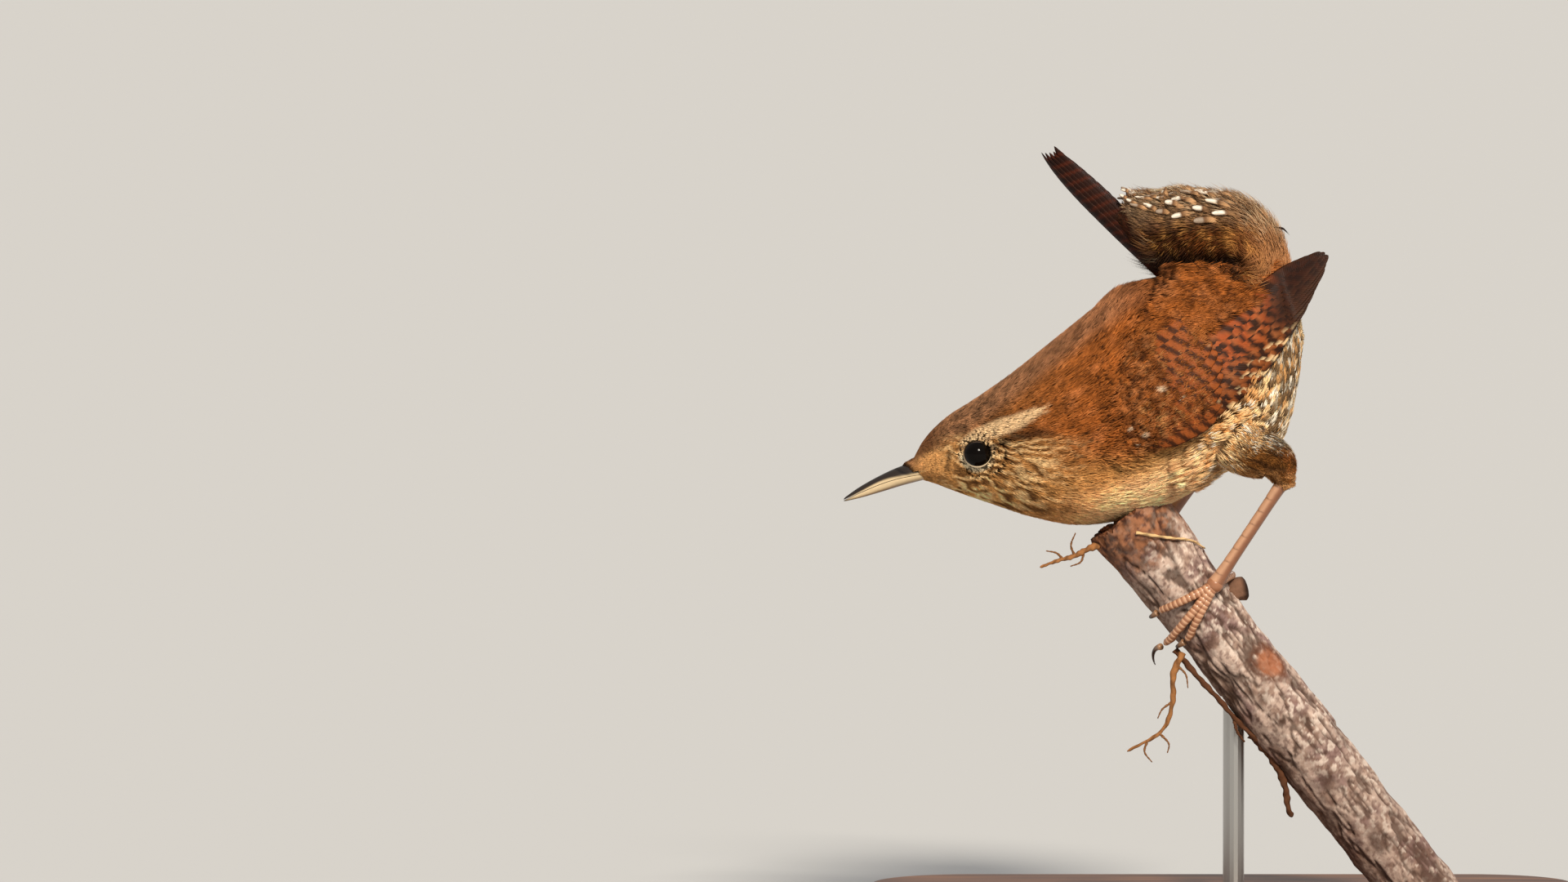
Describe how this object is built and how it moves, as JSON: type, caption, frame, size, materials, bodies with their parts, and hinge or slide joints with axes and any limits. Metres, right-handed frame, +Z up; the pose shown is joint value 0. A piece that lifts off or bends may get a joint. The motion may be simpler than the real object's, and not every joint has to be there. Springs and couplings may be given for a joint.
{
  "type": "wren model on a display stand",
  "caption": "Life-size wren leaning forward on a slanting perch, bill low and tail cocked over its back, held by a plain flat display stand with a rod.",
  "frame": {"origin": "middle of the underside of the stand's base", "axes": "+Z up, -X the way the bird faces, -Y the bird's left side, with the bird's middle plane at y = 0"},
  "size_m": [0.0972, 0.058, 0.1049],
  "materials": {
    "plumage": "soft matt feathers, barred",
    "flight_feathers": "smooth barred vanes with a faint sheen",
    "bill_horn": "satin horn",
    "eye": "polished, near black",
    "leg_skin": "scaled, slightly glossy",
    "claw_horn": "satin horn",
    "bark": "rough weathered bark",
    "base_wood": "satin dark wood",
    "rod_metal": "fine brushed"
  },
  "bodies": {
    "root": {"head": "plumage", "neck": "plumage", "torso": "plumage", "rump": "plumage", "tail": "flight_feathers", "bill_upper": "bill_horn", "bill_lower": "bill_horn", "eye_left": "eye", "eye_right": "eye", "wing_left": "flight_feathers", "wing_right": "flight_feathers", "thigh_left": "plumage", "thigh_right": "plumage", "shank_left": "leg_skin", "shank_right": "leg_skin", "foot_left": "leg_skin", "foot_right": "leg_skin", "claw_left_inner": "claw_horn", "claw_left_middle": "claw_horn", "claw_left_outer": "claw_horn", "claw_left_hind": "claw_horn", "claw_right_inner": "claw_horn", "claw_right_middle": "claw_horn", "claw_right_outer": "claw_horn", "claw_right_hind": "claw_horn", "perch": "bark", "perch_rootlet_lower": "bark", "perch_rootlet_upper": "bark", "stand_base": "base_wood", "stand_rod": "rod_metal"}
  },
  "joints": []
}
